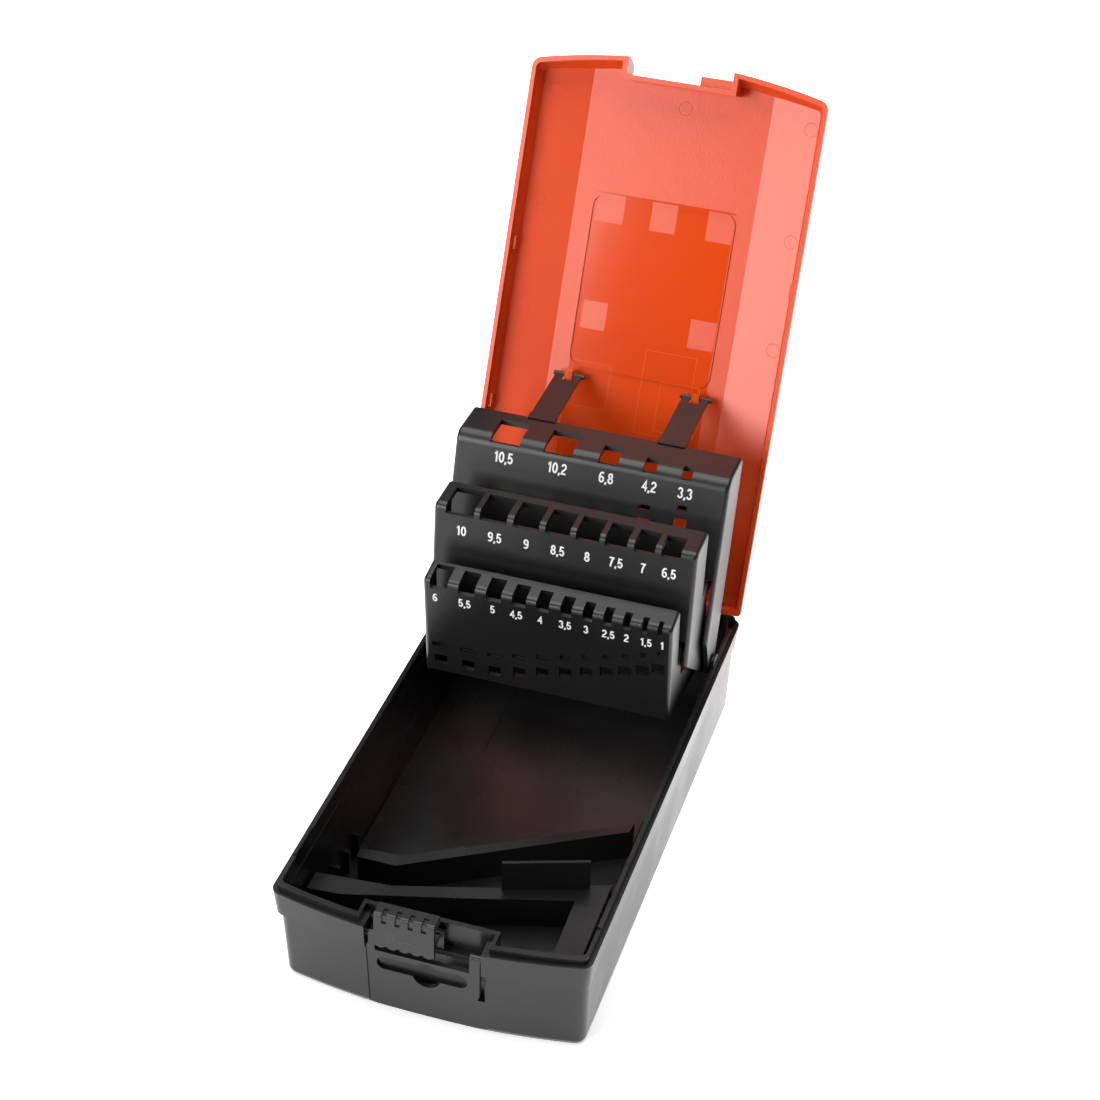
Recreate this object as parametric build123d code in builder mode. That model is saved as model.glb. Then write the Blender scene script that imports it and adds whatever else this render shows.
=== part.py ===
from build123d import *
from math import atan2, cos, degrees, radians, sin, tan
import os

# Drill bit case: open tray, hinged lid, three perforated drill holders that fold up in steps
# when the lid opens, two pull straps, a sliding latch and a fold-out hanger.
# Millimetres. X to the right, Y to the back (hinge side), Z up, origin under the tray's centre.
# The parts stand in the open position.

# ---------------------------------------------------------------- driving dimensions
case_half_width = 55.0          # over the belt of the tray
case_half_length = 98.15        # corners of the belt, front and back
front_bow = 6.8                 # how far the front bulges between its corners
corner_radius = 4.0

belt_bottom = 31.1              # the belt is the wide band round the top of the tray
belt_top = 40.9                 # parting line with the lid
lip_top = 43.2                  # upstand inside the belt, which the lid drops over
wall = 1.8
floor_top = 2.0

lid_open_angle = 115.0
hinge_y, hinge_z = 93.85, 46.24
hinge_pin_radius = 1.2
hinge_boss_radius = 2.6

lid_half_width = 56.0
lid_roof = 52.2                 # outside of the roof when the lid is shut
roof_flat_half_width = 34.3     # the middle band of the roof is flat, the side bands slope
roof_side_drop = 2.9            # fall of the side bands to the skirt

pivot_y, pivot_z = 66.2, 42.8   # common pivot of the three holders
pivot_pin_radius = 1.7
pivot_boss_radius = 4.3
running_fit = 0.05              # radial play of a pin in its bore

notch_half_width = 20.0         # latch notch in the front of the belt
notch_back = -95.5              # outer face of the notch's back wall
pocket_floor = 15.0             # bottom of the pocket behind the hanger

shelf_top = 26.0                # stop for the drills of the middle holder
pocket_top = 14.0               # stop for the drills of the front holder


# ---------------------------------------------------------------- helpers
def side_plane(x):
    """Plane across the case at x, whose sketch coordinates are (y, z)."""
    return Plane(origin=(x, 0, 0), x_dir=(0, 1, 0), z_dir=(1, 0, 0))


def block(x, y, z, mode=Mode.ADD):
    """Rectangular block from its (low, high) extents along each axis."""
    with Locations(((x[0] + x[1]) / 2, (y[0] + y[1]) / 2, (z[0] + z[1]) / 2)):
        Box(x[1] - x[0], y[1] - y[0], z[1] - z[0], mode=mode)


def side_prism(points, x, mode=Mode.ADD):
    """Prism along X between x[0] and x[1] with an outline of (y, z) points."""
    with BuildSketch(side_plane(x[0])) as outline:
        with BuildLine():
            Polyline(*points, close=True)
        make_face()
    extrude(outline.sketch, amount=x[1] - x[0], mode=mode)


def plan_prism(points, z, mode=Mode.ADD, inset=0.0):
    """Upright prism between z[0] and z[1] with an outline of (x, y) points."""
    with BuildSketch(Plane.XY.offset(z[0])) as outline:
        with BuildLine():
            Polyline(*points, close=True)
        make_face()
        if inset:
            offset(amount=-inset, kind=Kind.INTERSECTION, mode=Mode.REPLACE)
    extrude(outline.sketch, amount=z[1] - z[0], mode=mode)


def rod(radius, x, y, z, mode=Mode.ADD):
    """Cylinder along X between x[0] and x[1], centred on (y, z)."""
    with BuildSketch(side_plane(x[0])) as section:
        with Locations((y, z)):
            Circle(radius)
    extrude(section.sketch, amount=x[1] - x[0], mode=mode)


def case_outline(z, half_width, corner, back, bow, radius, back_radius=None):
    """Plan of the case at height z: straight sides, bowed front, rounded corners."""
    with BuildSketch(Plane.XY.offset(z)) as outline:
        with BuildLine():
            ThreePointArc((-half_width, corner), (0, corner - bow), (half_width, corner))
            Polyline((half_width, corner), (half_width, back), (-half_width, back), (-half_width, corner))
        make_face()
        rows = outline.vertices().group_by(Axis.Y)
        fillet(rows[0], radius)
        fillet(outline.vertices().group_by(Axis.Y)[-1], radius if back_radius is None else back_radius)
    return outline.sketch


def mirrored(span, side):
    """An (inner, outer) span of X on the given side, as (low, high)."""
    return (span[0], span[1]) if side > 0 else (-span[1], -span[0])


# ---------------------------------------------------------------- tray
body_bottom_half_width = 52.5
body_top_half_width = 53.4
body_bottom_corner = -93.3      # the body stands back under the belt
body_top_corner = -95.5
body_back = (97.0, 97.6)
body_bow = (5.2, 6.0)
belt_flare = 0.8
bottom_edge = ((0.0, 1.9), (0.7, 0.7), (2.5, 0.0))       # rounding of the bottom edge, (height, inset)
lip_inset = 1.6
lip_bow = 6.2
lip_inner_half_width = 52.2
ledge_height = 36.0             # small step round the inside of the wall

panel_half_width = 20.8         # recessed middle of the front
panel_depth = 1.3

ear_spans = ((44.4, 47.8), (35.4, 39.2))      # hinge ears of the tray, inner and outer x
lug_span = (39.6, 44.0)                       # hinge lug of the lid
rear_lip_top = 44.4                           # the lip is higher along the hinge side
rear_lip_corner = 88.5                        # y where the lip of the side walls ends, clear of the lid

pivot_ear_span = (51.8, 53.0)
cheek_thickness = 1.6

# stops for the drill tips, as plan outlines
stop_low = ((-45.3, -46.0), (-31.1, -46.0), (41.0, -2.0), (41.6, 2.9), (-30.6, -40.3), (-46.0, -41.5))
stop_high = ((-50.6, -78.3), (-38.9, -77.4), (1.4, -65.5), (36.7, -54.5), (37.6, -93.4), (46.9, -93.4),
             (46.3, -42.9), (9.9, -57.2), (-24.0, -67.9), (-50.6, -70.1))
front_floor = ((-50.6, -78.3), (-38.9, -77.4), (1.4, -65.5), (36.7, -54.5), (37.6, -93.4), (-48.4, -92.4), (-50.6, -90.6))
plateau = ((-50.6, 9.9), (41.0, 18.0), (41.0, -2.0), (-31.1, -46.0), (-50.6, -46.0))

core_wall = 1.2                 # walls left round the hollows under the stops
label_x, label_y = (-27.0, 25.0), (37.0, 84.0)
side_hole = (77.0, 29.5)
side_hole_radius = 1.65

tray_hollow_lower = (51.2, 51.95)
tray_hollow_corner = (-91.6, -94.4)
tray_hollow_back = 95.4
tray_hollow_bow = (5.2, 6.2)
jog_half_width = notch_half_width + 3.4        # the lip turns back behind the notch
jog_back = notch_back + wall
jog_lip_half_width = notch_half_width + 2.2

with BuildPart() as tray_hollow:
    loft((case_outline(floor_top, tray_hollow_lower[0], tray_hollow_corner[0], tray_hollow_back,
                       tray_hollow_bow[0], corner_radius - wall),
          case_outline(ledge_height, tray_hollow_lower[1], tray_hollow_corner[1], tray_hollow_back,
                       tray_hollow_bow[1], corner_radius - wall)), ruled=True)
    extrude(case_outline(ledge_height, lip_inner_half_width, tray_hollow_corner[1] - 0.6,
                         tray_hollow_back, tray_hollow_bow[1], corner_radius - wall),
            amount=lip_top - ledge_height + 2)
    block((-jog_half_width, jog_half_width), (-110, jog_back), (0, 60), Mode.SUBTRACT)


def body_section(z, inset=0.0):
    """Plan of the tray's body, which widens evenly from the bottom up to the belt."""
    rise = z / belt_bottom
    return case_outline(z, body_bottom_half_width + rise * (body_top_half_width - body_bottom_half_width) - inset,
                        body_bottom_corner + rise * (body_top_corner - body_bottom_corner) + inset,
                        body_back[0] + rise * (body_back[1] - body_back[0]) - inset,
                        body_bow[0] + rise * (body_bow[1] - body_bow[0]), corner_radius - inset)


with BuildPart() as base_tray:
    loft([body_section(z, inset) for z, inset in bottom_edge] + [body_section(belt_bottom)], ruled=True)
    loft((case_outline(belt_bottom, case_half_width - belt_flare, -case_half_length + belt_flare,
                       case_half_length - belt_flare, front_bow, corner_radius),
          case_outline(belt_top, case_half_width, -case_half_length, case_half_length, front_bow,
                       corner_radius)), ruled=True)
    extrude(case_outline(belt_top, case_half_width - lip_inset, -case_half_length + lip_inset,
                         case_half_length - 1.2, lip_bow, corner_radius - lip_inset),
            amount=lip_top - belt_top)
    # recessed middle panel, then the latch notch with the pocket behind the hanger
    panel_front = ((body_bottom_corner - body_bow[0] + panel_depth, 0),
                   (body_top_corner - body_bow[1] + panel_depth, belt_bottom), (-110, belt_bottom), (-110, 0))
    side_prism(panel_front, (-panel_half_width, panel_half_width), Mode.SUBTRACT)
    block((-notch_half_width, notch_half_width), (-110, notch_back), (pocket_floor, 60), Mode.SUBTRACT)
    block((-jog_lip_half_width, jog_lip_half_width), (-110, notch_back), (belt_top, 60), Mode.SUBTRACT)
    add(tray_hollow.part, mode=Mode.SUBTRACT)
    # rail that the latch slides on
    rail_top = 33.6
    rail_front = -98.4
    block((-notch_half_width, notch_half_width), (rail_front, notch_back), (rail_top - 2.0, rail_top))
    # bores for the stubs of the hanger
    hanger_y, hanger_z = -100.9, 36.2
    hanger_stub_radius = 1.1
    stub_length = 1.6
    rod(hanger_stub_radius + running_fit,
        (-notch_half_width - stub_length, notch_half_width + stub_length), hanger_y, hanger_z, Mode.SUBTRACT)
    # stops for the drill tips, hollow underneath like the floor they are moulded with
    plan_prism(stop_low, (1, pocket_top))
    plan_prism(stop_high, (1, shelf_top))
    plan_prism(front_floor, (1, pocket_top))
    plan_prism(plateau, (1, floor_top + 0.8))
    for outline, top in ((stop_low, pocket_top), (stop_high, shelf_top), (front_floor, pocket_top)):
        plan_prism(outline, (-1, top - wall), Mode.SUBTRACT, inset=core_wall)
    # upright plate on the high stop
    plate_start, plate_end = Vector(11.5, -57.0), Vector(39.5, -46.6)
    plate_top = 38.0
    plate_mid = (plate_start + plate_end) * 0.5
    plate_run = plate_end - plate_start
    with Locations(Location((plate_mid.X, plate_mid.Y, (shelf_top + plate_top) / 2),
                            (0, 0, degrees(atan2(plate_run.Y, plate_run.X))))):
        Box(plate_run.length, 1.2, plate_top - shelf_top)
    # recess for a label in the floor, and a hole in each side wall
    block(label_x, label_y, (floor_top - 0.4, floor_top), Mode.SUBTRACT)
    rod(side_hole_radius, (-case_half_width, case_half_width), side_hole[0], side_hole[1], Mode.SUBTRACT)
    # small rib ends on the left wall
    for rib_y in (-33.7, -42.9, -51.7):
        block((-52.0, -49.4), (rib_y - 0.7, rib_y + 0.7), (1, 12.5))
    # raised tabs of the lip
    for side in (-1, 1):
        block(mirrored((lip_inner_half_width, case_half_width - lip_inset), side), (-82.0, -68.0),
              (belt_top, lip_top + 0.8))
    # the lip stops short of the lid's rear wall, and is higher behind it
    for side in (-1, 1):
        block(mirrored((lip_inner_half_width - 1, case_half_width), side),
              (rear_lip_corner, tray_hollow_back - 0.2), (belt_top, lip_top + 1), Mode.SUBTRACT)
    block((-ear_spans[0][1], ear_spans[0][1]), (tray_hollow_back, tray_hollow_back + 1.2),
          (lip_top - 1, rear_lip_top))
    # hinge ears on the back wall
    ear_profile = ((hinge_y + hinge_boss_radius, belt_top - 4.0), (hinge_y + hinge_boss_radius, hinge_z),
                   (hinge_y - 1.0, hinge_z), (hinge_y - 1.0, belt_top), (hinge_y + 1.6, belt_top - 4.0))
    for side in (-1, 1):
        for span in ear_spans:
            side_prism(ear_profile, mirrored(span, side))
            rod(hinge_boss_radius, mirrored(span, side), hinge_y, hinge_z)
            rod(hinge_pin_radius + running_fit, mirrored(span, side), hinge_y, hinge_z, Mode.SUBTRACT)
        rod(hinge_boss_radius + 0.3, mirrored((lug_span[0] - 0.3, lug_span[1] + 0.3), side), hinge_y, hinge_z,
            Mode.SUBTRACT)
    # ears that carry the holders' pivot pins
    for side in (-1, 1):
        ear = mirrored(pivot_ear_span, side)
        rod(pivot_boss_radius - 0.6, ear, pivot_y, pivot_z)
        block(ear, (pivot_y - pivot_boss_radius + 0.6, pivot_y + pivot_boss_radius - 0.6), (30.0, pivot_z))
        rod(pivot_pin_radius + running_fit, ear, pivot_y, pivot_z, Mode.SUBTRACT)

# ---------------------------------------------------------------- lid, modelled shut
lid_corner = -98.3
lid_bow = 6.6
lid_back = 93.4                 # outside of the lid's rear wall
lid_back_radius = 1.2
lid_draft = (3.2, 3.2)          # how far sides and front lean in up to the roof
rim_height = 3.0                # upright rim that drops over the lip
rim_wall = 1.65
lid_notch_back = -97.6
lid_panel_half_width = 27.9
lid_panel_length = 66.0
lid_panel_middle = -20.2
latch_tab_x = (7.7, 19.8)
latch_tab_z = (42.6, 44.4)
strap_centres = (-24.8, 24.8)
hook_y, hook_z = 16.05, 45.9    # axis of the strap's bar in its hook, with the lid shut


def roof_profile(drop):
    """Cross-section under the roof, lowered by drop: flat in the middle, sloping at the sides."""
    slope = roof_side_drop / (54.5 - roof_flat_half_width)
    low = lid_roof - drop - slope * (60 - roof_flat_half_width)
    top = lid_roof - drop
    return ((-60, belt_top - 2), (60, belt_top - 2), (60, low), (roof_flat_half_width, top),
            (-roof_flat_half_width, top), (-60, low))


def roof_limit(drop):
    """Keep only what lies under the roof profile."""
    with BuildSketch(Plane(origin=(0, 130, 0), x_dir=(1, 0, 0), z_dir=(0, -1, 0))) as section:
        with BuildLine():
            Polyline(*roof_profile(drop), close=True)
        make_face()
    extrude(section.sketch, amount=260, mode=Mode.INTERSECT)


with BuildPart() as lid_hollow:
    extrude(case_outline(belt_top - 1, lid_half_width - rim_wall, lid_corner + rim_wall, lid_back - wall,
                         lid_bow, corner_radius - wall, 0.4), amount=rim_height + 1)
    loft((case_outline(belt_top + rim_height, lid_half_width - wall, lid_corner + wall, lid_back - wall,
                       lid_bow, corner_radius - wall, 0.4),
          case_outline(lid_roof, lid_half_width - lid_draft[0] - wall, lid_corner + lid_draft[1] + wall,
                       lid_back - wall, lid_bow, corner_radius - wall, 0.4)), ruled=True)
    roof_limit(wall)
    block((-notch_half_width - wall, notch_half_width + wall), (-110, lid_notch_back + wall), (0, 80),
          Mode.SUBTRACT)

with BuildPart() as lid:
    extrude(case_outline(belt_top, lid_half_width, lid_corner, lid_back, lid_bow, corner_radius,
                         lid_back_radius), amount=rim_height)
    loft((case_outline(belt_top + rim_height, lid_half_width, lid_corner, lid_back, lid_bow, corner_radius,
                       lid_back_radius),
          case_outline(lid_roof, lid_half_width - lid_draft[0], lid_corner + lid_draft[1], lid_back,
                       lid_bow, corner_radius, lid_back_radius)), ruled=True)
    roof_limit(0)
    block((-notch_half_width + 0.1, notch_half_width - 0.1), (-110, lid_notch_back), (0, 80), Mode.SUBTRACT)
    add(lid_hollow.part, mode=Mode.SUBTRACT)
    # frame of the label panel on the inside of the roof
    panel_plane = Plane.XY.offset(lid_roof - wall - 0.6)
    with BuildSketch(panel_plane) as panel_frame:
        with Locations((0, lid_panel_middle)):
            RectangleRounded(2 * lid_panel_half_width, lid_panel_length, 5.0)
            RectangleRounded(2 * lid_panel_half_width - 2.0, lid_panel_length - 2.0, 4.0, mode=Mode.SUBTRACT)
    extrude(panel_frame.sketch, amount=1.0)
    # hooks for the pull straps
    for strap_x in strap_centres:
        hook = ((hook_y + 1.1, lid_roof - 1.0), (hook_y + 1.1, hook_z - 1.0), (hook_y - 1.1, hook_z - 1.0),
                (hook_y - 1.1, hook_z + 0.3), (hook_y - 1.9, hook_z + 0.3), (hook_y - 1.9, hook_z - 1.8),
                (hook_y + 3.4, hook_z - 1.8), (hook_y + 3.4, lid_roof - 1.0))
        side_prism(hook, (strap_x - 1.5, strap_x + 1.5))
    # latch tab in the notch
    block(latch_tab_x, (lid_notch_back - 3.3, lid_notch_back + 0.5), latch_tab_z)
    # short ribs inside the skirts
    for side in (-1, 1):
        for rib_y in (-29.7, 30.9):
            block(mirrored((52.9, 54.6), side), (rib_y - 2.5, rib_y + 2.5), (belt_top + 2.6, belt_top + 6.2))
    # notches for the tray's hinge ears, and the lugs between them
    for side in (-1, 1):
        for span in ear_spans:
            gap = mirrored((span[0] - 0.4, span[1] + 0.4), side)
            block(gap, (hinge_y - hinge_boss_radius - 0.4, lid_back + 1),
                  (belt_top - 1, hinge_z + hinge_boss_radius + 0.4), Mode.SUBTRACT)
        lug = mirrored(lug_span, side)
        rod(hinge_boss_radius, lug, hinge_y, hinge_z)
        block(lug, (lid_back - wall, hinge_y + 0.5), (hinge_z, hinge_z + hinge_boss_radius))
        rod(hinge_pin_radius + running_fit, lug, hinge_y, hinge_z, Mode.SUBTRACT)

hinge_axis = Axis((0, hinge_y, hinge_z), (1, 0, 0))
lid_open = lid.part.rotate(hinge_axis, -lid_open_angle)

# ---------------------------------------------------------------- hinge pins
hinge_pins = {}
for side, name in ((-1, "hinge_pin_left"), (1, "hinge_pin_right")):
    with BuildPart() as pin:
        rod(hinge_pin_radius, mirrored((ear_spans[1][0], ear_spans[0][1]), side), hinge_y, hinge_z)
    hinge_pins[name] = pin.part

# ---------------------------------------------------------------- drill holders
# Each holder is given at rest: the front top edge (y, z), the lean of the front wall in degrees
# (positive leans back), then lengths in the holder's own frame, as (depth, height) from that edge:
# the back top edge, the rear edge of the cheeks from top to bottom, the foot of their front edge.
# drills: (x of the hole, drill diameter). guides: (drop of the guide of the thinnest drill,
# extra drop per millimetre of diameter, deepest drop, gap from the slot to the window).
# windowed: the drills up to this diameter have a slot and a window through the front wall.
holders = {
    "holder_rear": dict(
        half_width=51.4, front_top=(73.7, 118.0), lean=16.5, back_top=(18.1, 4.4), top_radius=5.0,
        rear_edge=((18.7, 0.0), (18.7, -60.0), (18.4, -73.0)), arm_foot=(0, -62.0), wall_height=37.6,
        wrap=2.3, guides=(11.8, 2.8, 25.0, 5.0), windowed=5.0,
        drills=((-32.8, 10.5), (-12.6, 10.2), (6.2, 6.8), (21.6, 4.2), (35.3, 3.3))),
    "holder_middle": dict(
        half_width=48.6, front_top=(41.85, 106.8), lean=5.0, back_top=(15.3, 1.15), top_radius=2.5,
        rear_edge=((15.3, -25.5), (22.8, -28.5), (25.2, -50.8), (33.5, -59.4)), arm_foot=(0, -46.0),
        wall_height=36.0, wrap=3.3, guides=(22.0, 0.0, 22.0, 5.0), windowed=0.0,
        drills=((-38.8, 10), (-26.3, 9.5), (-14.0, 9), (-2.4, 8.5), (8.7, 8), (19.1, 7.5), (29.5, 7),
                (39.1, 6.5))),
    "holder_front": dict(
        half_width=46.0, front_top=(22.7, 87.2), lean=-4.6, back_top=(9.9, 0.65), top_radius=2.2,
        rear_edge=((9.7, -23.3), (14.6, -26.5), (14.6, -33.0), (41.2, -43.7)), arm_foot=(0, -43.0),
        wall_height=42.5, wrap=4.0, guides=(10.9, 4.6, 29.0, 6.0), windowed=6.0,
        drills=((-40.0, 6), (-29.6, 5.5), (-19.5, 5), (-10.1, 4.5), (-1.4, 4), (7.2, 3.5), (15.1, 3),
                (22.4, 2.5), (29.3, 2), (35.8, 1.5), (41.4, 1))),
}
front_wall = 1.8
top_wall = 2.0
hole_play = 0.7                 # a hole is this much wider than its drill
guide_thickness = 2.0
guide_rim = 1.2
slot_height = 2.0               # slot in the front wall above each guide
window_size = (4.7, 4.4)        # window in the front wall below each guide
side_edge_radius = 1.5

# A tongue on the cheek of a holder carries a peg, which runs in a curved groove inside the cheek
# of the holder behind it and lifts it. Radius about the pivot, polar angle of the peg at rest,
# degrees that it travels, and the polar angles of the tongue's root and tip.
lift_from_middle = dict(radius=35.8, angle=81.5, travel=11.5, root=108.0, tip=77.5)
lift_from_front = dict(radius=35.0, angle=118.5, travel=9.6, root=144.0, tip=114.5)
peg_radius = 1.1
peg_length = 1.7
tongue_half_width = 2.2
groove_depth = 0.9
groove_play = 0.2


def holder_frame(spec):
    """Frame of a holder: x across, y into its depth, z up along the front wall."""
    lean = radians(spec["lean"])
    y, z = spec["front_top"]
    return Plane(origin=(0, y, z), x_dir=(1, 0, 0), z_dir=(0, sin(lean), cos(lean)))


def in_frame(frame, point):
    """(y, z) in the case of a (depth, height) point of a holder."""
    world = frame.from_local_coords(Vector(0, point[0], point[1]))
    return (world.Y, world.Z)


def holder_block(frame, x, depth, height, mode=Mode.ADD):
    """Block in a holder's frame, from its (low, high) extents."""
    corners = ((depth[0], height[0]), (depth[1], height[0]), (depth[1], height[1]), (depth[0], height[1]))
    side_prism([in_frame(frame, corner) for corner in corners], x, mode)


def rounded_profile(frame, x, points, radii):
    """Sketch across x of (depth, height) points of a holder, with some corners rounded."""
    with BuildSketch(side_plane(x)) as profile:
        with BuildLine():
            Polyline(*[in_frame(frame, point) for point in points], close=True)
        make_face()
        for point, radius in radii:
            y, z = in_frame(frame, point)
            fillet(profile.vertices().sort_by_distance(Vector(y, z, 0))[0], radius)
    return profile.sketch


def guide_drop(spec, diameter):
    """How far below the top edge the slot over a drill's guide starts."""
    thinnest = min(size for x, size in spec["drills"])
    first, per_mm, deepest, gap = spec["guides"]
    return min(first + per_mm * (diameter - thinnest), deepest)


def lifting_tongue(lift, span):
    """Curved tongue from a cheek backward, concentric with the pivot."""
    with BuildSketch(side_plane(span[0])) as tongue:
        with BuildLine(mode=Mode.PRIVATE) as track:
            CenterArc((pivot_y, pivot_z), lift["radius"], lift["tip"] + 3.5, lift["root"] - lift["tip"] - 3.5)
        SlotArc(track.line.edge(), 2 * tongue_half_width)
    extrude(tongue.sketch, amount=span[1] - span[0])


def lifting_groove(lift, span):
    """Blind groove that a peg runs in, concentric with the pivot."""
    with BuildSketch(side_plane(span[0])) as groove:
        with BuildLine(mode=Mode.PRIVATE) as track:
            CenterArc((pivot_y, pivot_z), lift["radius"], lift["angle"] - lift["travel"], lift["travel"])
        SlotArc(track.line.edge(), 2 * (peg_radius + groove_play))
    extrude(groove.sketch, amount=span[1] - span[0], mode=Mode.SUBTRACT)


def drill_holder(spec, lift=None, lifted_by=None):
    """Perforated holder: hollow moulding open at the back, on two arms."""
    half = spec["half_width"]
    inner = half - cheek_thickness
    frame = holder_frame(spec)
    height = spec["wall_height"]
    back_top = spec["back_top"]
    pivot = frame.to_local_coords(Vector(0, pivot_y, pivot_z))
    with BuildPart() as holder:
        # outer form, head and arms in one, with its rounded edges
        outline = ((0, 0), back_top, *spec["rear_edge"], (pivot.Y, pivot.Z),
                   (pivot.Y - 2.0, pivot.Z - 3.6), spec["arm_foot"])
        rounding = (((0, 0), spec["top_radius"]),)
        extrude(rounded_profile(frame, -half, outline, rounding), amount=2 * half)
        side_edges = holder.faces().filter_by(Axis.X).edges()
        fillet(side_edges.filter_by(
            lambda edge: frame.to_local_coords(edge.center()).Y < 0.1
            or (frame.to_local_coords(edge.center()).Z > -spec["top_radius"]
                and frame.to_local_coords(edge.center()).Y < back_top[0] - 1)),
            side_edge_radius)
        # hollow, open at the back and below
        rise = back_top[1] / back_top[0]
        far = 60.0
        inside = ((front_wall, rise * front_wall - top_wall), (far, rise * far - top_wall), (far, -height - far),
                  (front_wall, -height - far))
        extrude(rounded_profile(frame, -inner, inside, ((inside[0], max(spec["top_radius"] - front_wall, 0.5)),)),
                amount=2 * inner, mode=Mode.SUBTRACT)
        holder_block(frame, (-inner, inner), (-5, far), (-height - far, -height), Mode.SUBTRACT)
        # arms' pivots
        for side in (-1, 1):
            cheek = mirrored((inner, half), side)
            rod(pivot_boss_radius, cheek, pivot_y, pivot_z)
            rod(pivot_pin_radius + running_fit, cheek, pivot_y, pivot_z, Mode.SUBTRACT)
            if lift:
                lifting_tongue(lift, cheek)
                peg_y = pivot_y + lift["radius"] * cos(radians(lift["angle"]))
                peg_z = pivot_z + lift["radius"] * sin(radians(lift["angle"]))
                rod(peg_radius, mirrored((half - 0.5, half + peg_length), side), peg_y, peg_z)
            if lifted_by:
                lifting_groove(lifted_by, mirrored((inner, inner + groove_depth), side))
        # guides behind the front wall: one shelf where all are at the same height
        gap = spec["guides"][3]
        widest = max(diameter for x, diameter in spec["drills"]) + hole_play
        if spec["guides"][1] == 0:
            shelf_half = max(abs(x) + diameter / 2 for x, diameter in spec["drills"]) + hole_play / 2 + 0.5
            guide_top = -spec["guides"][0] - slot_height
            holder_block(frame, (-shelf_half, shelf_half), (front_wall - 0.5, front_wall + widest + guide_rim),
                         (guide_top - guide_thickness, guide_top))
        for x, diameter in spec["drills"]:
            width = diameter + hole_play
            slot_top = -guide_drop(spec, diameter)
            guide_top = slot_top - slot_height
            if spec["guides"][1] > 0:
                holder_block(frame, (x - width / 2 - guide_rim, x + width / 2 + guide_rim),
                             (front_wall - 0.5, front_wall + width + guide_rim),
                             (guide_top - guide_thickness, guide_top))
            holder_block(frame, (x - width / 2, x + width / 2), (front_wall, front_wall + width),
                         (guide_top - guide_thickness - 1, guide_top + 1), Mode.SUBTRACT)
            # the hole in the head starts behind the front wall and wraps over its top edge
            holder_block(frame, (x - width / 2, x + width / 2), (-1.0, front_wall + width), (-spec["wrap"], 6.0),
                         Mode.SUBTRACT)
            # slot through the front wall above the guide, and window below it
            if diameter <= spec["windowed"]:
                holder_block(frame, (x - diameter / 2 - 0.2, x + diameter / 2 + 0.2), (-1.0, front_wall + 0.2),
                             (guide_top, slot_top), Mode.SUBTRACT)
                window_top = slot_top - gap
                holder_block(frame, (x - window_size[0] / 2, x + window_size[0] / 2), (-1.0, front_wall + 0.2),
                             (window_top - window_size[1], window_top), Mode.SUBTRACT)
        # notches for the hems of the straps
        for x in spec.get("strap_notches", ()):
            holder_block(frame, (x - 5.7, x + 5.7), (back_top[0] - 1.6, back_top[0] + 5), (0.0, 8.0), Mode.SUBTRACT)
    return holder.part


holders["holder_rear"]["strap_notches"] = strap_centres

holder_parts = {
    "holder_rear": drill_holder(holders["holder_rear"], lifted_by=lift_from_middle),
    "holder_middle": drill_holder(holders["holder_middle"], lift=lift_from_middle, lifted_by=lift_from_front),
    "holder_front": drill_holder(holders["holder_front"], lift=lift_from_front),
}

# ---------------------------------------------------------------- pivot pins
pivot_pins = {}
for side, name in ((-1, "pivot_pin_left"), (1, "pivot_pin_right")):
    with BuildPart() as pin:
        rod(pivot_pin_radius, mirrored((43.0, pivot_ear_span[1]), side), pivot_y, pivot_z)
        rod(pivot_pin_radius + 0.9, mirrored((42.2, 43.2), side), pivot_y, pivot_z)
    pivot_pins[name] = pin.part

# ---------------------------------------------------------------- pull straps
strap_half_width = 5.0
strap_bar_half = 6.05
strap_bar_radius = 0.85
strap_thickness = 0.8
hook_open = Vertex(0, hook_y, hook_z).rotate(hinge_axis, -lid_open_angle).center()
strap_end = 91.2                # y of the free end, at the back edge of the rear holder
hem_length = 4.0

straps = {}
for strap_x, name in ((strap_centres[0], "strap_left"), (strap_centres[1], "strap_right")):
    with BuildPart() as strap:
        rod(strap_bar_radius, (strap_x - strap_bar_half, strap_x + strap_bar_half), hook_open.Y, hook_open.Z)
        block((strap_x - strap_half_width, strap_x + strap_half_width), (strap_end + 0.6, hook_open.Y),
              (hook_open.Z - strap_thickness / 2, hook_open.Z + strap_thickness / 2))
        block((strap_x - strap_half_width - 0.2, strap_x + strap_half_width + 0.2), (strap_end, strap_end + hem_length),
              (hook_open.Z - 0.75, hook_open.Z + 0.75))
        block((strap_x - 1.9, strap_x + 1.9), (hook_open.Y - 4.6, hook_open.Y - strap_bar_radius),
              (hook_open.Z - 3, hook_open.Z + 3), Mode.SUBTRACT)
    straps[name] = strap.part

# ---------------------------------------------------------------- sliding latch
hood_x = (-16.5, 4.2)
hood_front = -103.9
hood_back = -98.1
hood_bottom = 34.5
hood_top = 48.0
hood_wall = 1.3
hood_ceiling = 44.8             # underside of the hood, which holds the lid's tab down
back_plate_x = (-19.8, 5.5)
grip_grooves = (0.17, 0.395, 0.61, 0.83)        # places across the hood

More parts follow.
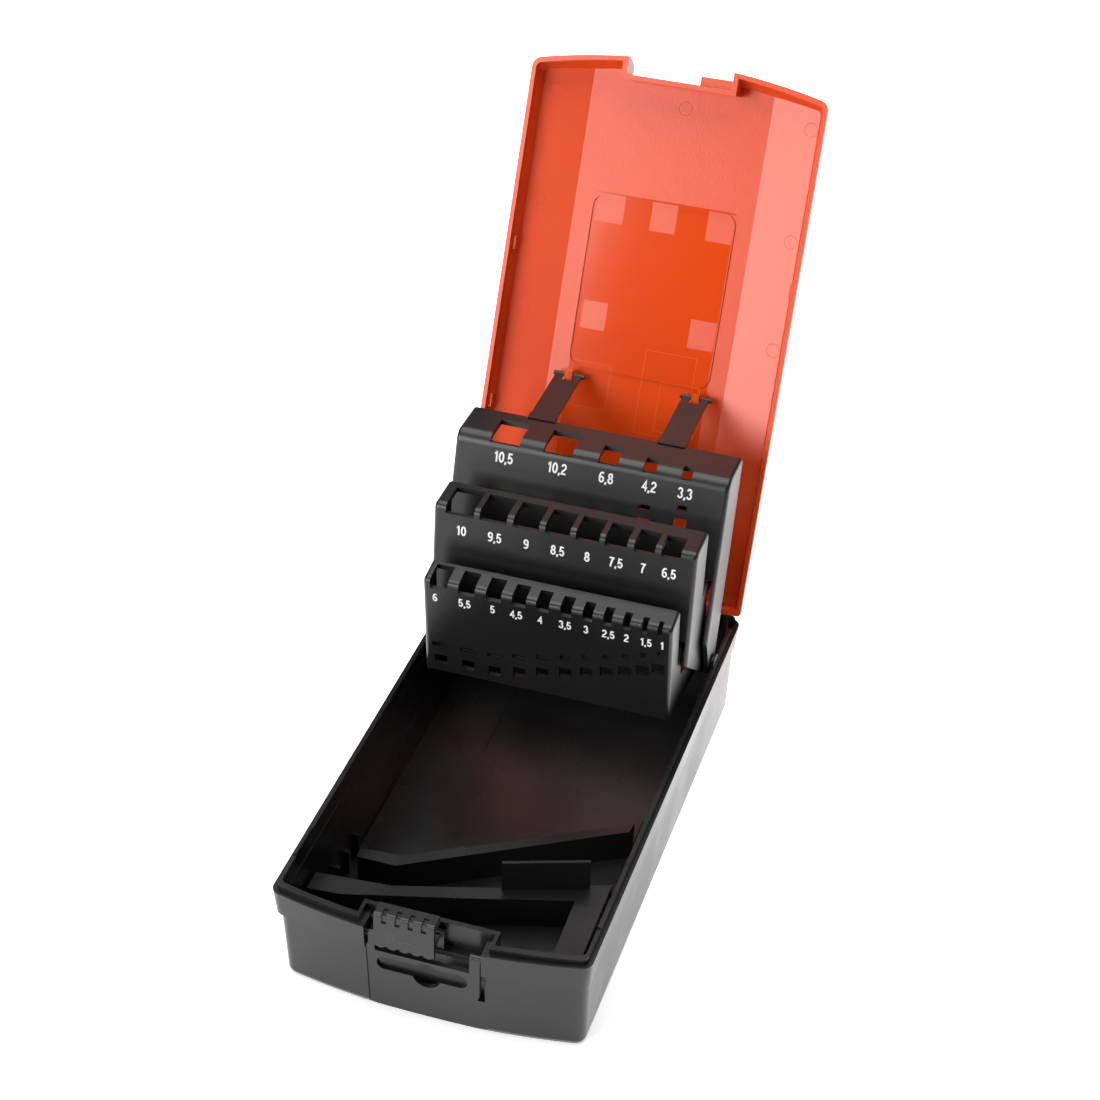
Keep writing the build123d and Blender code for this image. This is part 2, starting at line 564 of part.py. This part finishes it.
with BuildPart() as latch_slider:
    hood = ((hood_back, hood_top), (hood_back, hood_ceiling), (hood_front + hood_wall, hood_ceiling),
            (hood_front + hood_wall, hood_bottom), (hood_front, hood_bottom), (hood_front, hood_top))
    side_prism(hood, hood_x)
    front_top_edge = latch_slider.edges().filter_by(Axis.X).group_by(Axis.Z)[-1].sort_by(Axis.Y)[0]
    fillet(front_top_edge, 1.1)
    # web to the plate that runs on the rail behind
    block(hood_x, (hood_front + 1.0, notch_back - 0.9), (38.4, 40.0))
    block(back_plate_x, (notch_back - 2.5, notch_back - 0.4), (rail_top + 0.1, 40.5))
    # grip grooves over the top edge, scallops along the lower edge
    hood_width = hood_x[1] - hood_x[0]
    for groove in grip_grooves:
        groove_x = hood_x[0] + hood_width * groove
        block((groove_x - 0.85, groove_x + 0.85), (hood_front - 1, hood_front + 0.55), (hood_top - 3.6, hood_top + 1),
              Mode.SUBTRACT)
        block((groove_x - 0.85, groove_x + 0.85), (hood_front - 1, hood_front + 3.4), (hood_top - 0.6, hood_top + 1),
              Mode.SUBTRACT)
    with BuildSketch(Plane(origin=(0, hood_front, 0), x_dir=(1, 0, 0), z_dir=(0, -1, 0))) as scallops:
        for i in range(5):
            with Locations((hood_x[0] + hood_width * (i + 0.5) / 5, hood_bottom + 1.2)):
                Circle(hood_width / 10)
    extrude(scallops.sketch, amount=-hood_wall)

# ---------------------------------------------------------------- hanger
hanger_front = hanger_y - 1.3
hanger_back = hanger_front + 1.8
hanger_half_width = 19.2
hanger_bottom, hanger_bar_top = 17.4, 30.1
hanger_corner_radius = 3.5
hanger_slot_x = -0.65
arm_spans = ((-19.2, -16.9), (15.6, 19.2))

with BuildPart() as hanger:
    front = Plane(origin=(0, hanger_front, 0), x_dir=(1, 0, 0), z_dir=(0, -1, 0))
    with BuildSketch(front) as outline:
        with BuildLine():
            Polyline((-hanger_half_width, hanger_z), (-hanger_half_width, hanger_bottom),
                     (hanger_half_width, hanger_bottom), (hanger_half_width, hanger_z),
                     (arm_spans[1][0], hanger_z), (arm_spans[1][0], hanger_bar_top), (arm_spans[0][1], hanger_bar_top),
                     (arm_spans[0][1], hanger_z), close=True)
        make_face()
        fillet(outline.vertices().group_by(Axis.Y)[0], hanger_corner_radius)
        with Locations((hanger_slot_x, 25.2)):
            SlotOverall(31.3, 5.4, mode=Mode.SUBTRACT)
        with Locations((1.0, 24.0)):
            Circle(5.0, mode=Mode.SUBTRACT)
    extrude(outline.sketch, amount=-1.8)
    for span, stub in ((arm_spans[0], -1), (arm_spans[1], 1)):
        rod(1.3, span, hanger_y, hanger_z)
        rod(hanger_stub_radius, mirrored((hanger_half_width - 0.5, notch_half_width + 1.3), stub), hanger_y, hanger_z)

# ---------------------------------------------------------------- files
pieces = {"base_tray": base_tray.part, "lid": lid_open, "latch_slider": latch_slider.part, "hanger": hanger.part,
          **hinge_pins, **holder_parts, **pivot_pins, **straps}
os.makedirs("parts", exist_ok=True)
for name, piece in pieces.items():
    piece.label = name
    export_step(piece, f"parts/{name}.step")
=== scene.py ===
from math import cos, radians, sin
import bpy
from mathutils import Matrix, Vector


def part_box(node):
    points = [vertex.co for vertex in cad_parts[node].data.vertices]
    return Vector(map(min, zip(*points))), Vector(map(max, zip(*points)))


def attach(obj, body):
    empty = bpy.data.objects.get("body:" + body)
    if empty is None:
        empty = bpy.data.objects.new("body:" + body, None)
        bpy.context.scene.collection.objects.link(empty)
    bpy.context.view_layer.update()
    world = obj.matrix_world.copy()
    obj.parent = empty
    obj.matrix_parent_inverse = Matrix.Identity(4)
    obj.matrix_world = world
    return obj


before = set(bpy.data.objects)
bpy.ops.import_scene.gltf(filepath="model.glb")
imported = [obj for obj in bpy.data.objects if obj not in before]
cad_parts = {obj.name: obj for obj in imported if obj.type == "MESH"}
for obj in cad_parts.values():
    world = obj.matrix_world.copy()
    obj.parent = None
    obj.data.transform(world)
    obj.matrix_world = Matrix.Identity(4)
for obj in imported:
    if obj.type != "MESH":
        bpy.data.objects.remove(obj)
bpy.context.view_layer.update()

MM = 0.001

# Hinge line of the lid and how far the lid stands open
HINGE_Y, HINGE_Z = 93.85 * MM, 46.24 * MM
LID_OPEN = radians(115)
LID_ROOF_MIDDLE = 51.4 * MM         # height between the two faces of the roof, with the lid shut


# ---------------------------------------------------------------- node helpers
class Nodes:
    """A small wrapper that adds nodes to one material and links them."""

    def __init__(self, name):
        self.material = bpy.data.materials.new(name)
        self.material.use_nodes = True
        self.tree = self.material.node_tree
        self.shader = self.tree.nodes["Principled BSDF"]

    def add(self, kind, values=None, **settings):
        node = self.tree.nodes.new(kind)
        for key, value in settings.items():
            setattr(node, key, value)
        for key, value in (values or {}).items():
            if isinstance(value, bpy.types.NodeSocket):
                self.tree.links.new(value, node.inputs[key])
            else:
                node.inputs[key].default_value = value
        return node

    def link(self, socket, name):
        self.tree.links.new(socket, self.shader.inputs[name])

    def math(self, operation, *values):
        return self.add("ShaderNodeMath", dict(enumerate(values)), operation=operation).outputs[0]

    def noise(self, vector, scale, detail=2.0, roughness=0.5):
        return self.add("ShaderNodeTexNoise", {"Vector": vector, "Scale": scale, "Detail": detail,
                                               "Roughness": roughness}).outputs["Fac"]

    def ramp(self, factor, low, high, start=0.0, end=1.0):
        """Smooth change from low to high as factor goes from start to end."""
        return self.add("ShaderNodeMapRange", {"Value": factor, "From Min": start, "From Max": end,
                                               "To Min": low, "To Max": high},
                        interpolation_type="SMOOTHSTEP").outputs[0]

    def blend(self, factor, first, second):
        return self.add("ShaderNodeMix", {0: factor, 6: first, 7: second}, data_type="RGBA").outputs[2]

    def bump(self, height, distance, strength=1.0):
        normal = self.add("ShaderNodeBump", {"Height": height, "Distance": distance, "Strength": strength})
        self.link(normal.outputs[0], "Normal")

    def place(self):
        return self.add("ShaderNodeTexCoord").outputs["Object"]


def moulded_black(name, tone, roughness, grain=0.05 * MM):
    """Black injection-moulded plastic: fine spark-eroded grain and faint flow streaks."""
    m = Nodes(name)
    place = m.place()
    flow = m.noise(place, 18.0, 3.0, 0.55)
    fine = m.noise(place, 1400.0, 2.0, 0.6)
    dark = (tone * 0.8, tone * 0.8, tone * 0.84, 1)
    pale = (tone * 1.25, tone * 1.25, tone * 1.3, 1)
    m.link(m.blend(flow, dark, pale), "Base Color")
    m.link(m.ramp(flow, roughness - 0.05, roughness + 0.06, 0.3, 0.7), "Roughness")
    m.bump(fine, grain, 0.35)
    return m.material


# Polished part of the lid's inside and what is marked on it, in mm: x from left to right, and
# distance from the hinge, near and far
POLISHED = (-26.6, 27.6, 16.0, 147.4)
GRAINED_PATCHES = ((-25.6, -14.8, 136.4, 147.0), (-4.3, 5.5, 136.0, 146.8), (17.3, 27.5, 135.8, 146.9),
                   (-24.9, -15.3, 95.8, 106.4), (17.2, 27.3, 95.4, 106.3))
SCRIBED_FRAMES = ((-25.5, -10.0, 66.0, 83.5), (2.0, 22.0, 60.0, 92.0), (9.5, 25.0, 62.0, 81.0))
SCRIBE_WIDTH = 0.25
PATCH_GRAIN = 0.75                  # how much of the polish a grained square takes away
SCRIBE_PALENESS = 0.35


def lid_plastic():
    """Glossy orange plastic: grained inside, polished in the middle with a few grained squares."""
    m = Nodes("lid_plastic")
    place = m.place()
    split = m.add("ShaderNodeSeparateXYZ", {0: place}).outputs
    back = m.math("SUBTRACT", split[1], HINGE_Y)
    up = m.math("SUBTRACT", split[2], HINGE_Z)
    across = m.math("MULTIPLY", split[0], 1 / MM)
    away = m.math("ADD", m.math("MULTIPLY", back, -cos(LID_OPEN) / MM),
                  m.math("MULTIPLY", up, sin(LID_OPEN) / MM))
    height = m.math("ADD", m.math("MULTIPLY", back, sin(LID_OPEN)), m.math("MULTIPLY", up, cos(LID_OPEN)))
    inner_side = m.math("LESS_THAN", height, LID_ROOF_MIDDLE - HINGE_Z)

    def inside(area, margin=0.0):
        left, right, near, far = area
        x_off = m.math("ABSOLUTE", m.math("SUBTRACT", across, (left + right) / 2))
        d_off = m.math("ABSOLUTE", m.math("SUBTRACT", away, (near + far) / 2))
        x_in = m.math("LESS_THAN", x_off, (right - left) / 2 - margin)
        d_in = m.math("LESS_THAN", d_off, (far - near) / 2 - margin)
        return m.math("MULTIPLY", x_in, d_in)

    polish = m.math("MULTIPLY", inside(POLISHED), inner_side)
    for patch in GRAINED_PATCHES:
        kept = m.math("SUBTRACT", 1.0, m.math("MULTIPLY", inside(patch), PATCH_GRAIN))
        polish = m.math("MULTIPLY", polish, kept)
    scribed = None
    for area in SCRIBED_FRAMES:
        line = m.math("SUBTRACT", inside(area), inside(area, SCRIBE_WIDTH))
        scribed = line if scribed is None else m.math("MAXIMUM", scribed, line)
    fine = m.noise(place, 1100.0, 2.0, 0.6)
    flow = m.noise(place, 14.0, 2.0, 0.5)
    colour = m.blend(flow, (0.58, 0.050, 0.004, 1), (0.64, 0.062, 0.006, 1))
    paleness = m.math("MULTIPLY", m.math("MULTIPLY", scribed, inner_side), SCRIBE_PALENESS)
    m.link(m.blend(paleness, colour, (0.75, 0.20, 0.08, 1)), "Base Color")
    m.link(m.ramp(polish, 0.36, 0.09), "Roughness")
    m.bump(m.math("MULTIPLY", fine, m.ramp(polish, 1.0, 0.06)), 0.07 * MM, 0.6)
    m.shader.inputs["Subsurface Weight"].default_value = 0.15
    m.shader.inputs["Subsurface Radius"].default_value = (0.004, 0.0012, 0.0004)
    m.shader.inputs["Subsurface Scale"].default_value = 1.0
    return m.material


def drawn_steel():
    """Steel pin with fine streaks along its length."""
    m = Nodes("drawn_steel")
    stretched = m.add("ShaderNodeMapping", {"Vector": m.place(), "Scale": (40, 2500, 2500)}).outputs[0]
    streaks = m.noise(stretched, 1.0)
    m.link(m.blend(streaks, (0.45, 0.45, 0.46, 1), (0.62, 0.62, 0.63, 1)), "Base Color")
    m.shader.inputs["Metallic"].default_value = 1.0
    m.link(m.ramp(streaks, 0.25, 0.42), "Roughness")
    return m.material


def printed_white():
    """White pad print with slightly uneven cover."""
    m = Nodes("printed_white")
    cover = m.noise(m.place(), 2200.0, 1.0)
    m.link(m.blend(cover, (0.72, 0.72, 0.72, 1), (0.9, 0.9, 0.9, 1)), "Base Color")
    m.shader.inputs["Roughness"].default_value = 0.55
    return m.material


# Floor under the case, standing in for a light table, with painted shade in front and a painted glow: places
# along y, in metres
PAINTED_SHADE_FADE = (-1.1, -0.35)          # where the front of the floor comes out of its painted shade
PAINTED_TABLE_GLOW = (0.35, 1.4)            # painted glow that comes up through it, in front of the case and behind it
PAINTED_GLOW_RISE = (-0.16, 0.15)           # where that painted glow rises


def floor_painted_shade_and_glow():
    """White floor standing in for a light table, greyed by painted shade well in front of the case and
    glowing with painted light.
    """
    m = Nodes("floor_painted_shade_and_glow")
    place = m.place()
    mottle = m.noise(place, 3.0)
    depth = m.add("ShaderNodeSeparateXYZ", {0: place}).outputs[1]
    # Painted shade: the floor's colour turns grey towards the front, well in front of the case
    out_of_painted_shade = m.ramp(depth, 0.0, 1.0, *PAINTED_SHADE_FADE)
    # Painted glow: the floor gives off light, weak in front of the case and strong behind it
    glow = m.ramp(depth, *PAINTED_TABLE_GLOW, *PAINTED_GLOW_RISE)
    white = m.blend(mottle, (0.90, 0.90, 0.90, 1), (0.92, 0.92, 0.92, 1))
    m.link(m.blend(out_of_painted_shade, (0.30, 0.30, 0.30, 1), white), "Base Color")
    m.shader.inputs["Emission Color"].default_value = (1, 1, 1, 1)
    # Painted glow, cut off where the painted shade lies
    m.link(m.math("MULTIPLY", out_of_painted_shade, glow), "Emission Strength")
    m.shader.inputs["Roughness"].default_value = 0.8
    m.shader.inputs["Specular IOR Level"].default_value = 0.2
    return m.material


# ---------------------------------------------------------------- materials on the CAD nodes
tray_black = moulded_black("tray_black", 0.008, 0.26)
holder_black = moulded_black("holder_black", 0.010, 0.34)
trim_black = moulded_black("trim_black", 0.012, 0.28, grain=0.02 * MM)
strap_black = moulded_black("strap_black", 0.010, 0.24, grain=0.01 * MM)
steel = drawn_steel()
white_print = printed_white()
mark_grey = moulded_black("mark_grey", 0.035, 0.4, grain=0.0)
finish = {
    "base_tray": tray_black, "lid": lid_plastic(), "hinge_pin_left": steel, "hinge_pin_right": steel,
    "holder_rear": holder_black, "holder_middle": holder_black, "holder_front": holder_black,
    "pivot_pin_left": tray_black, "pivot_pin_right": tray_black,
    "strap_left": strap_black, "strap_right": strap_black, "latch_slider": trim_black, "hanger": trim_black,
}
for node, material in finish.items():
    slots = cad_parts[node].data.materials
    slots.clear()
    slots.append(material)


# ---------------------------------------------------------------- drill sizes printed on the holders
PRINT_RAISE = 0.04 * MM
# Front top edge (y, z) and backward lean of each front wall, drop of the numerals below the edge,
# height of the figures, and the drills with the x of their numeral, in mm and degrees
ROWS = {
    "rear": dict(edge=(73.7, 118.0), lean=16.5, drop=7.1, height=4.1, body="rear_holder",
                 drills=(("10,5", -32.6), ("10,2", -12.2), ("6,8", 6.3), ("4,2", 22.4), ("3,3", 35.7))),
    "middle": dict(edge=(41.85, 106.8), lean=5.0, drop=9.3, height=3.9, body="middle_holder",
                   drills=(("10", -38.0), ("9,5", -25.4), ("9", -13.6), ("8,5", -1.9), ("8", 9.0),
                           ("7,5", 19.6), ("7", 29.5), ("6,5", 39.0))),
    "front": dict(edge=(22.7, 87.2), lean=-4.6, drop=7.8, height=3.5, body="front_holder",
                  drills=(("6", -41.5), ("5,5", -30.4), ("5", -19.9), ("4,5", -11.1), ("4", -2.2),
                          ("3,5", 7.0), ("3", 14.7), ("2,5", 22.9), ("2", 29.5), ("1,5", 36.6),
                          ("1", 42.4))),
}
# Figures one unit high: width of their strokes, and from the start of one to the start of the next
STROKE = 0.155
FIGURE_ADVANCE = 0.56
NARROW_ADVANCE = {"1": 0.46, ",": 0.25}
FIGURE_GAP = 0.06
SHARPEST_MITRE = 0.45               # cosine that limits how far a stroke's corner sticks out


def bow(x, y, half_width, half_height, start, end, steps=16):
    """Points along part of an ellipse about (x, y), from one angle to another in degrees."""
    turns = [radians(start + (end - start) * i / steps) for i in range(steps + 1)]
    return [(x + half_width * cos(t), y + half_height * sin(t)) for t in turns]


FIGURES = {
    "0": [bow(0.25, 0.5, 0.18, 0.43, 0, 360)],
    "1": [[(0.06, 0.74), (0.15, 0.77), (0.22, 0.85), (0.24, 0.97)], [(0.26, 1.0), (0.26, 0.0)]],
    "2": [bow(0.25, 0.7, 0.17, 0.235, 175, -40) + [(0.14, 0.28), (0.07, 0.07), (0.46, 0.07)]],
    "3": [bow(0.24, 0.71, 0.155, 0.215, 170, -85), bow(0.24, 0.275, 0.18, 0.215, 85, -170)],
    "4": [[(0.36, 0.0), (0.36, 0.93), (0.07, 0.31), (0.5, 0.31)]],
    "5": [[(0.43, 0.93), (0.14, 0.93), (0.1, 0.5)] + bow(0.25, 0.33, 0.17, 0.255, 130, -160)],
    "6": [bow(0.25, 0.31, 0.175, 0.24, 0, 360), bow(0.29, 0.5, 0.215, 0.43, 55, 205)],
    "7": [[(0.05, 0.93), (0.43, 0.93), (0.3, 0.65), (0.21, 0.3), (0.19, 0.0)]],
    "8": [bow(0.25, 0.72, 0.145, 0.205, 0, 360), bow(0.25, 0.28, 0.18, 0.22, 0, 360)],
    "9": [bow(0.25, 0.69, 0.175, 0.24, 0, 360), bow(0.21, 0.5, 0.215, 0.43, -125, 25)],
    ",": [[(0.1, 0.12), (0.1, 0.0), (0.04, -0.14)]],
}


def ribbon(points, width, vertices, faces):
    """Flat strip of even width along a line of points, added to the lists of a mesh."""
    first = len(vertices)
    points = [Vector(point) for point in points]
    for i, point in enumerate(points):
        before = (point - points[i - 1]).normalized() if i else (points[1] - point).normalized()
        after = (points[i + 1] - point).normalized() if i + 1 < len(points) else before
        along = (before + after).normalized()
        side = Vector((-along.y, along.x))
        reach = width / 2 / max(SHARPEST_MITRE, along.dot(before))
        vertices.extend(((*(point + side * reach), 0.0), (*(point - side * reach), 0.0)))
    for i in range(len(points) - 1):
        k = first + 2 * i
        faces.append((k, k + 1, k + 3, k + 2))


def flat_mark(name, lines, width, place, right, up, material, body):
    """Thin printed or raised lines on a flat face of a moving piece."""
    vertices, faces = [], []
    for line in lines:
        ribbon(line, width, vertices, faces)
    mesh = bpy.data.meshes.new(name)
    mesh.from_pydata(vertices, [], faces)
    mesh.materials.append(material)
    mark = bpy.data.objects.new(name, mesh)
    bpy.context.collection.objects.link(mark)
    turn = Matrix((right, up, right.cross(up))).transposed().to_4x4()
    mark.matrix_world = Matrix.Translation(place) @ turn
    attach(mark, body)


def print_numeral(row_name, row, text, x):
    """One white numeral, lying on the front wall of its holder."""
    size = row["height"] * MM
    lines = []
    pen = 0.0
    for letter in text:
        lines += [[((pen + px) * size, (py - 0.5) * size) for px, py in line] for line in FIGURES[letter]]
        pen += NARROW_ADVANCE.get(letter, FIGURE_ADVANCE)
    middle = (pen - FIGURE_GAP) / 2 * size
    lines = [[(px - middle, py) for px, py in line] for line in lines]
    lean = radians(row["lean"])
    up = Vector((0, sin(lean), cos(lean)))
    right = Vector((1, 0, 0))
    place = Vector((x * MM, row["edge"][0] * MM, row["edge"][1] * MM))
    place += right.cross(up) * PRINT_RAISE - up * row["drop"] * MM
    name = "numeral_" + row_name + "_" + text.replace(",", "_")
    flat_mark(name, lines, STROKE * size, place, right, up, white_print, row["body"])


for row_name, row in ROWS.items():
    for text, x in row["drills"]:
        print_numeral(row_name, row, text, x)


# ---------------------------------------------------------------- marks left by the mould's ejectors
EJECTOR_RADIUS, EJECTOR_BEAD = 2.5 * MM, 0.09 * MM
PROBE_REACH = 25 * MM               # how far in front of the roof the search for the lid's face starts
PROBE_HEIGHT = 60 * MM              # and how high above the table the one for the tray's floor does
# x in mm, and distance from the hinge on the lid, y on the floor
LID_EJECTORS = ((-47.0, 182.1), (2.1, 182.3), (50.1, 181.8), (-48.3, 141.1), (49.6, 140.6),
                (-48.2, 100.6), (49.9, 100.3))
FLOOR_EJECTORS = ((15.5, 26.6), (-19.8, 29.2))


def ejector_ring(name, node, above, toward, body):
    """Thin raised ring where the ray from a point meets the face of a moulding."""
    bpy.context.view_layer.update()
    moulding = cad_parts[node]
    hit, place, normal, _ = moulding.ray_cast(above, toward)
    if not hit:
        raise RuntimeError(name + " misses " + node)
    curve = bpy.data.curves.new(name, "CURVE")
    curve.dimensions = "3D"
    spline = curve.splines.new("POLY")
    ring = [(EJECTOR_RADIUS * px, EJECTOR_RADIUS * py, 0, 1) for px, py in bow(0, 0, 1, 1, 0, 350, 35)]
    spline.points.add(len(ring) - 1)
    for point, value in zip(spline.points, ring):
        point.co = value
    spline.use_cyclic_u = True
    curve.bevel_depth = EJECTOR_BEAD
    curve.bevel_resolution = 1
    curve.materials.append(finish[node])
    mark = bpy.data.objects.new(name, curve)
    bpy.context.collection.objects.link(mark)
    mark.matrix_world = Matrix.Translation(place) @ normal.to_track_quat("Z", "Y").to_matrix().to_4x4()
    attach(mark, body)


inward = Vector((0, -sin(LID_OPEN), -cos(LID_OPEN)))
for number, (x, away) in enumerate(LID_EJECTORS):
    wall = Vector((x * MM, HINGE_Y - away * MM * cos(LID_OPEN), HINGE_Z + away * MM * sin(LID_OPEN)))
    ejector_ring("lid_ejector_mark_%d" % number, "lid", wall + inward * PROBE_REACH, -inward, "lid")
for number, (x, y) in enumerate(FLOOR_EJECTORS):
    start = Vector((x * MM, y * MM, PROBE_HEIGHT))
    ejector_ring("tray_ejector_mark_%d" % number, "base_tray", start, Vector((0, 0, -1)), "base")


# ---------------------------------------------------------------- arrow on the latch
ARROW_TIP, ARROW_HEAD, ARROW_END, ARROW_HALF_HEIGHT = -5.2 * MM, -2.6 * MM, 5.4 * MM, 1.5 * MM
ARROW_DROP = 8.2 * MM               # of its middle below the top of the hood
ARROW_STROKE = 0.35 * MM
hood_low, hood_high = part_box("latch_slider")
hood_middle = (hood_low[0] + hood_high[0]) / 2
arrow_head = [(ARROW_HEAD, ARROW_HALF_HEIGHT), (ARROW_TIP, 0.0), (ARROW_HEAD, -ARROW_HALF_HEIGHT),
              (ARROW_HEAD, ARROW_HALF_HEIGHT)]
arrow_underline = [(-2.4 * MM, -ARROW_HALF_HEIGHT), (ARROW_END, -ARROW_HALF_HEIGHT)]
arrow_place = Vector((hood_middle, hood_low[1] - PRINT_RAISE, hood_high[2] - ARROW_DROP))
flat_mark("latch_arrow", [arrow_head, arrow_underline], ARROW_STROKE, arrow_place,
          Vector((1, 0, 0)), Vector((0, 0, 1)), mark_grey, "latch")


# ---------------------------------------------------------------- studio
FLOOR_HALF = 6.0
WORLD_GLOW = (2.0, 0.12)            # strength of the wall behind and above, and of the room in front
WORLD_TILT = 0.8                    # share of a direction's height in how bright it is
WORLD_RISE = (-0.45, 0.75)          # where the wall starts and where it is brightest


def add_floor():
    mesh = bpy.data.meshes.new("floor")
    half = FLOOR_HALF
    corners = [(-half, -half, 0), (half, -half, 0), (half, half, 0), (-half, half, 0)]
    mesh.from_pydata(corners, [], [(0, 1, 2, 3)])
    mesh.materials.append(floor_painted_shade_and_glow())
    floor = bpy.data.objects.new("floor", mesh)
    bpy.context.collection.objects.link(floor)


def add_softbox(name, place, target, size, watts):
    lamp = bpy.data.lights.new(name, "AREA")
    lamp.shape = "RECTANGLE"
    lamp.size, lamp.size_y = size
    lamp.energy = watts
    box = bpy.data.objects.new(name, lamp)
    box.location = place
    box.rotation_euler = (Vector(target) - Vector(place)).to_track_quat("-Z", "Y").to_euler()
    bpy.context.collection.objects.link(box)


def add_world(back, front):
    """A bright wall behind and above the case, and a dark room in front of it."""
    world = bpy.data.worlds.new("studio")
    world.use_nodes = True
    tree = world.node_tree
    coordinates = tree.nodes.new("ShaderNodeTexCoord")
    split = tree.nodes.new("ShaderNodeSeparateXYZ")
    height = tree.nodes.new("ShaderNodeMath")
    height.operation = "MULTIPLY_ADD"
    height.inputs[1].default_value = WORLD_TILT
    glow = tree.nodes.new("ShaderNodeMapRange")
    glow.interpolation_type = "SMOOTHSTEP"
    glow.inputs["From Min"].default_value = WORLD_RISE[0]
    glow.inputs["From Max"].default_value = WORLD_RISE[1]
    glow.inputs["To Min"].default_value = front
    glow.inputs["To Max"].default_value = back
    tree.links.new(coordinates.outputs["Generated"], split.inputs[0])
    tree.links.new(split.outputs["Z"], height.inputs[0])
    tree.links.new(split.outputs["Y"], height.inputs[2])
    tree.links.new(height.outputs[0], glow.inputs["Value"])
    tree.links.new(glow.outputs[0], tree.nodes["Background"].inputs["Strength"])
    bpy.context.scene.world = world


CAMERA_PLACE = (198.59 * MM, -639.9 * MM, 597.88 * MM)
CAMERA_AZIMUTH, CAMERA_ELEVATION, CAMERA_ROLL = radians(16.62), radians(35.17), radians(1.9)
FOCAL_PIXELS, IMAGE_PIXELS = 2455.6, 1100
SENSOR_WIDTH = 36.0


def add_camera():
    """The camera at the place and angle from which the case is seen."""
    look = Vector((-sin(CAMERA_AZIMUTH) * cos(CAMERA_ELEVATION), cos(CAMERA_AZIMUTH) * cos(CAMERA_ELEVATION),
                   -sin(CAMERA_ELEVATION)))
    right = look.cross(Vector((0, 0, 1))).normalized()
    up = right.cross(look)
    tilted_right = cos(CAMERA_ROLL) * right + sin(CAMERA_ROLL) * up
    tilted_up = cos(CAMERA_ROLL) * up - sin(CAMERA_ROLL) * right
    data = bpy.data.cameras.new("camera")
    data.sensor_width = SENSOR_WIDTH
    data.lens = FOCAL_PIXELS * SENSOR_WIDTH / IMAGE_PIXELS
    camera = bpy.data.objects.new("camera", data)
    bpy.context.collection.objects.link(camera)
    turn = Matrix((tilted_right, tilted_up, -look)).transposed().to_4x4()
    camera.matrix_world = Matrix.Translation(CAMERA_PLACE) @ turn
    bpy.context.scene.camera = camera


add_floor()
add_world(*WORLD_GLOW)
add_softbox("key_left", (-1.165, -1.685, 0.85), (0, 0.1, 0.13), (1.24, 1.1), 50)
add_softbox("overhead", (0, 0.3, 2.0), (0, 0, 0), (2.0, 2.0), 45)
add_camera()
bpy.context.scene.view_settings.view_transform = "Standard"
